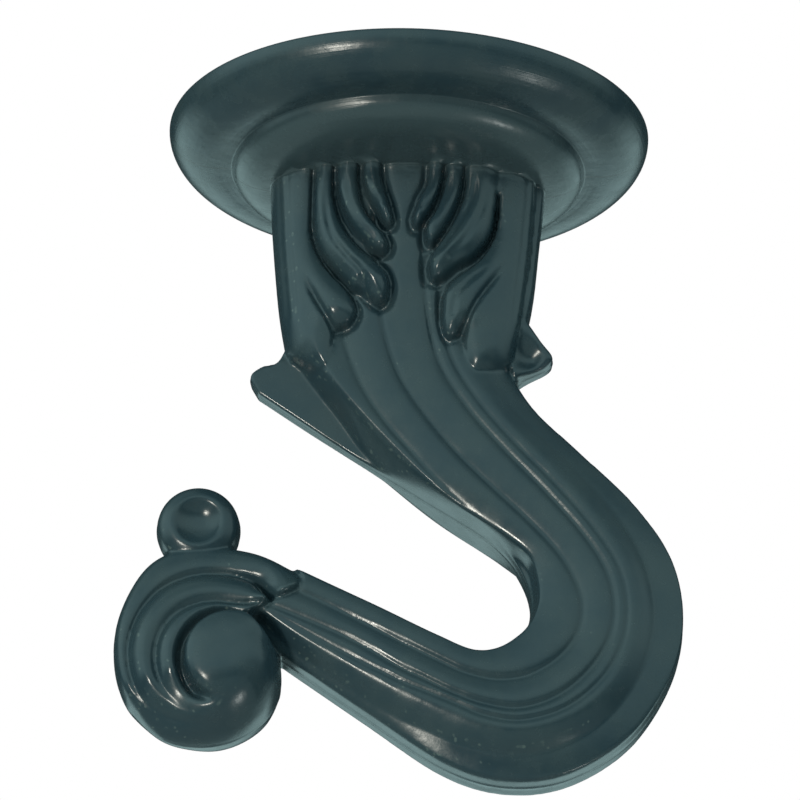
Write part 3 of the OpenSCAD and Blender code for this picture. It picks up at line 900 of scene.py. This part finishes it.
def enamel():
    """Blue-green black enamel: a faint orange peel, turned marks on the canopy, paler edges that are
    partly wear and partly a painted highlight, and a painted lighter tone on the raised disc's face for
    how it is lit.
    """
    material, tree, surface = new_material("dark_enamel")
    links = tree.links
    where = tree.nodes.new("ShaderNodeTexCoord").outputs["Object"]
    split = tree.nodes.new("ShaderNodeSeparateXYZ")
    links.new(where, split.inputs[0])
    x, y, z = split.outputs

    # The canopy, its turned marks, its flat face, which gets a painted tone for how it is lit, and the
    # mould's parting line where it shows there
    canopy = map_range(tree, z, CANOPY_FROM_Z, FULL)
    radius = calculate(tree, "ADD", product(tree, x, x), product(tree, y, y))
    radius = calculate(tree, "SQRT", radius)
    marks = product(tree, canopy, turned_marks(tree, where, radius, z))
    face = product(tree, canopy, map_range(tree, radius, FACE_WITHIN, FULL))
    parting = map_range(tree, calculate(tree, "ABSOLUTE", y), PARTING_WITHIN, FULL)
    parting = product(tree, product(tree, canopy, parting), PARTING_STRENGTH)

    # Colour
    cloud = map_range(tree, noise(tree, where, ENAMEL_CLOUD), NOISE_SPAN, FULL)
    colour = blend(tree, cloud, ENAMEL_DARK, ENAMEL_PALE)
    # Painted highlight and wear: the hook's sharp edges are made paler, for grazing light on the rims as
    # well as rubbed enamel.
    rubbed_and_sheen = product(tree, rubbed_and_sheen_edges(tree, where), calculate(tree, "SUBTRACT", 1.0, canopy))
    colour = blend(tree, rubbed_and_sheen, colour, RUBBED_AND_SHEEN_COLOUR)
    # Painted light: the raised disc's face is given its own tone for how it is lit, not a different paint.
    colour = blend(tree, face, colour, FACE_PAINTED_LIGHT_COLOUR)
    colour = blend(tree, parting, colour, PARTING_COLOUR)
    links.new(colour, surface.inputs["Base Color"])

    # Gloss
    gloss = map_range(tree, noise(tree, where, ENAMEL_SHEEN), NOISE_SPAN, ENAMEL_ROUGHNESS)
    gloss = calculate(tree, "MULTIPLY_ADD", marks, MARKS_ROUGHNESS, gloss)
    links.new(gloss, surface.inputs["Roughness"])

    # Fine relief
    peel = bump(tree, noise(tree, where, PEEL), PEEL_HEIGHT)
    grain = bump(tree, noise(tree, where, GRAIN), GRAIN_HEIGHT, peel)
    links.new(bump(tree, marks, MARKS_HEIGHT, grain), surface.inputs["Normal"])
    return material


def zinc():
    """Zinc plate, lightly clouded and dulled."""
    material, tree, surface = new_material("zinc_plate")
    where = tree.nodes.new("ShaderNodeTexCoord").outputs["Object"]
    cloud = map_range(tree, noise(tree, where, ZINC_CLOUD), NOISE_SPAN, FULL)
    tree.links.new(blend(tree, cloud, ZINC_DARK, ZINC_PALE), surface.inputs["Base Color"])
    surface.inputs["Metallic"].default_value = 1
    fine = noise(tree, where, ZINC_FINE)
    tree.links.new(map_range(tree, fine, NOISE_SPAN, ZINC_ROUGHNESS), surface.inputs["Roughness"])
    tree.links.new(bump(tree, fine, ZINC_HEIGHT), surface.inputs["Normal"])
    return material


def finish_piece(piece, material, body, node):
    piece.data.transform(Matrix.Scale(MM, 4))
    piece.data.update()
    piece.data.shade_smooth()
    piece.data.materials.clear()
    piece.data.materials.append(material)
    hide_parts(node)
    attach(piece, body)


finish_piece(make_casting(), enamel(), "casting", "hook_casting")
finish_piece(make_bolt(), zinc(), "bolt", "hanger_bolt")


# ------------------------------------------------------------------ floor, surroundings and lights
FLOOR_Z, FLOOR_R = -0.62, 1.2                 # in metres
FLOOR_COLOUR, FLOOR_ROUGHNESS = (0.86, 0.86, 0.86, 1), 0.8

# The world lights the object by direction. A pair is the two values of a direction's x, y or z
# between which a light comes up or changes, and a share goes with each change.
DIM = 0.045                                                 # from everywhere
SKY, SKY_Y, SKY_Z = 0.78, (0.45, -0.05), (-0.35, 0.15)      # from the front and above
SKY_LEFT_X, SKY_LEFT = (-0.1, -0.75), 1.45                  # brighter on the left
SKY_TOP_Z, SKY_TOP = (0.45, 0.85), 0.35                     # and dimmer overhead
GLOW, GLOW_Y, GLOW_Z = 1.12, (0.45, 0.9), (0.14, -0.14)     # from a table, behind and below
GLOW_SIDE_X, GLOW_SIDE = (0.3, 0.75), 1.7                   # brighter to either side
WORLD_TINT, WHITE = (0.68, 1.0, 1.0, 1), (1, 1, 1, 1)

# Lamps: place, width and height in millimetres, power in watts, colour
KEY_LAMP = ((-260, -385, -193), 55, 50, 0.95, (1.0, 0.97, 0.86))
SIDE_LAMP = ((300, 0, -450), 50, 45, 0.2, (0.95, 1.0, 0.96))


def make_floor():
    bm = bmesh.new()
    bmesh.ops.create_circle(bm, cap_ends=True, segments=64, radius=FLOOR_R)
    floor = from_bmesh("floor", bm)
    floor.location.z = FLOOR_Z
    material, tree, surface = new_material("pale_floor")
    surface.inputs["Base Color"].default_value = FLOOR_COLOUR
    surface.inputs["Roughness"].default_value = FLOOR_ROUGHNESS
    floor.data.materials.append(material)


def light_by_direction(tree):
    """The world's strength, as the object sees it."""
    coords = tree.nodes.new("ShaderNodeTexCoord")
    split = tree.nodes.new("ShaderNodeSeparateXYZ")
    tree.links.new(coords.outputs["Generated"], split.inputs[0])
    x, y, z = split.outputs
    sky = product(tree, map_range(tree, y, SKY_Y, (0, SKY)), map_range(tree, z, SKY_Z, FULL))
    sky = product(tree, sky, map_range(tree, x, SKY_LEFT_X, (1, SKY_LEFT)))
    sky = product(tree, sky, map_range(tree, z, SKY_TOP_Z, (1, SKY_TOP)))
    glow = product(tree, map_range(tree, y, GLOW_Y, (0, GLOW)), map_range(tree, z, GLOW_Z, FULL))
    sides = calculate(tree, "ABSOLUTE", x)
    glow = product(tree, glow, map_range(tree, sides, GLOW_SIDE_X, (1, GLOW_SIDE)))
    return calculate(tree, "ADD", calculate(tree, "ADD", sky, glow), DIM)


def make_world():
    """White to the camera; to the object, soft from the front and above and from low behind."""
    world = bpy.data.worlds.new("studio")
    bpy.context.scene.world = world
    world.use_nodes = True
    tree = world.node_tree
    nodes, links = tree.nodes, tree.links
    camera_ray = nodes.new("ShaderNodeLightPath").outputs["Is Camera Ray"]
    strength = nodes.new("ShaderNodeMix")
    strength.data_type = "FLOAT"
    links.new(camera_ray, strength.inputs["Factor"])
    links.new(light_by_direction(tree), strength.inputs["A"])
    strength.inputs["B"].default_value = 1.0
    tint = nodes.new("ShaderNodeMix")
    tint.data_type = "RGBA"
    links.new(camera_ray, tint.inputs["Factor"])
    tint.inputs["A"].default_value = WORLD_TINT
    tint.inputs["B"].default_value = WHITE
    links.new(tint.outputs["Result"], nodes["Background"].inputs["Color"])
    links.new(strength.outputs["Result"], nodes["Background"].inputs["Strength"])


def make_lamp(name, place, width, height, power, colour):
    """A rectangular lamp that faces the place the camera is aimed at."""
    data = bpy.data.lights.new(name, "AREA")
    data.shape = "RECTANGLE"
    data.size = width * MM
    data.size_y = height * MM
    data.energy = power
    data.color = colour
    lamp = bpy.data.objects.new(name, data)
    lamp.location = Vector(place) * MM
    lamp.rotation_mode = "QUATERNION"
    lamp.rotation_quaternion = (Vector(place) - CAMERA_AIM).to_track_quat("Z", "Y")
    bpy.context.scene.collection.objects.link(lamp)


bpy.context.scene.view_settings.view_transform = "Standard"
make_floor()
make_world()
make_lamp("key", *KEY_LAMP)
make_lamp("side", *SIDE_LAMP)
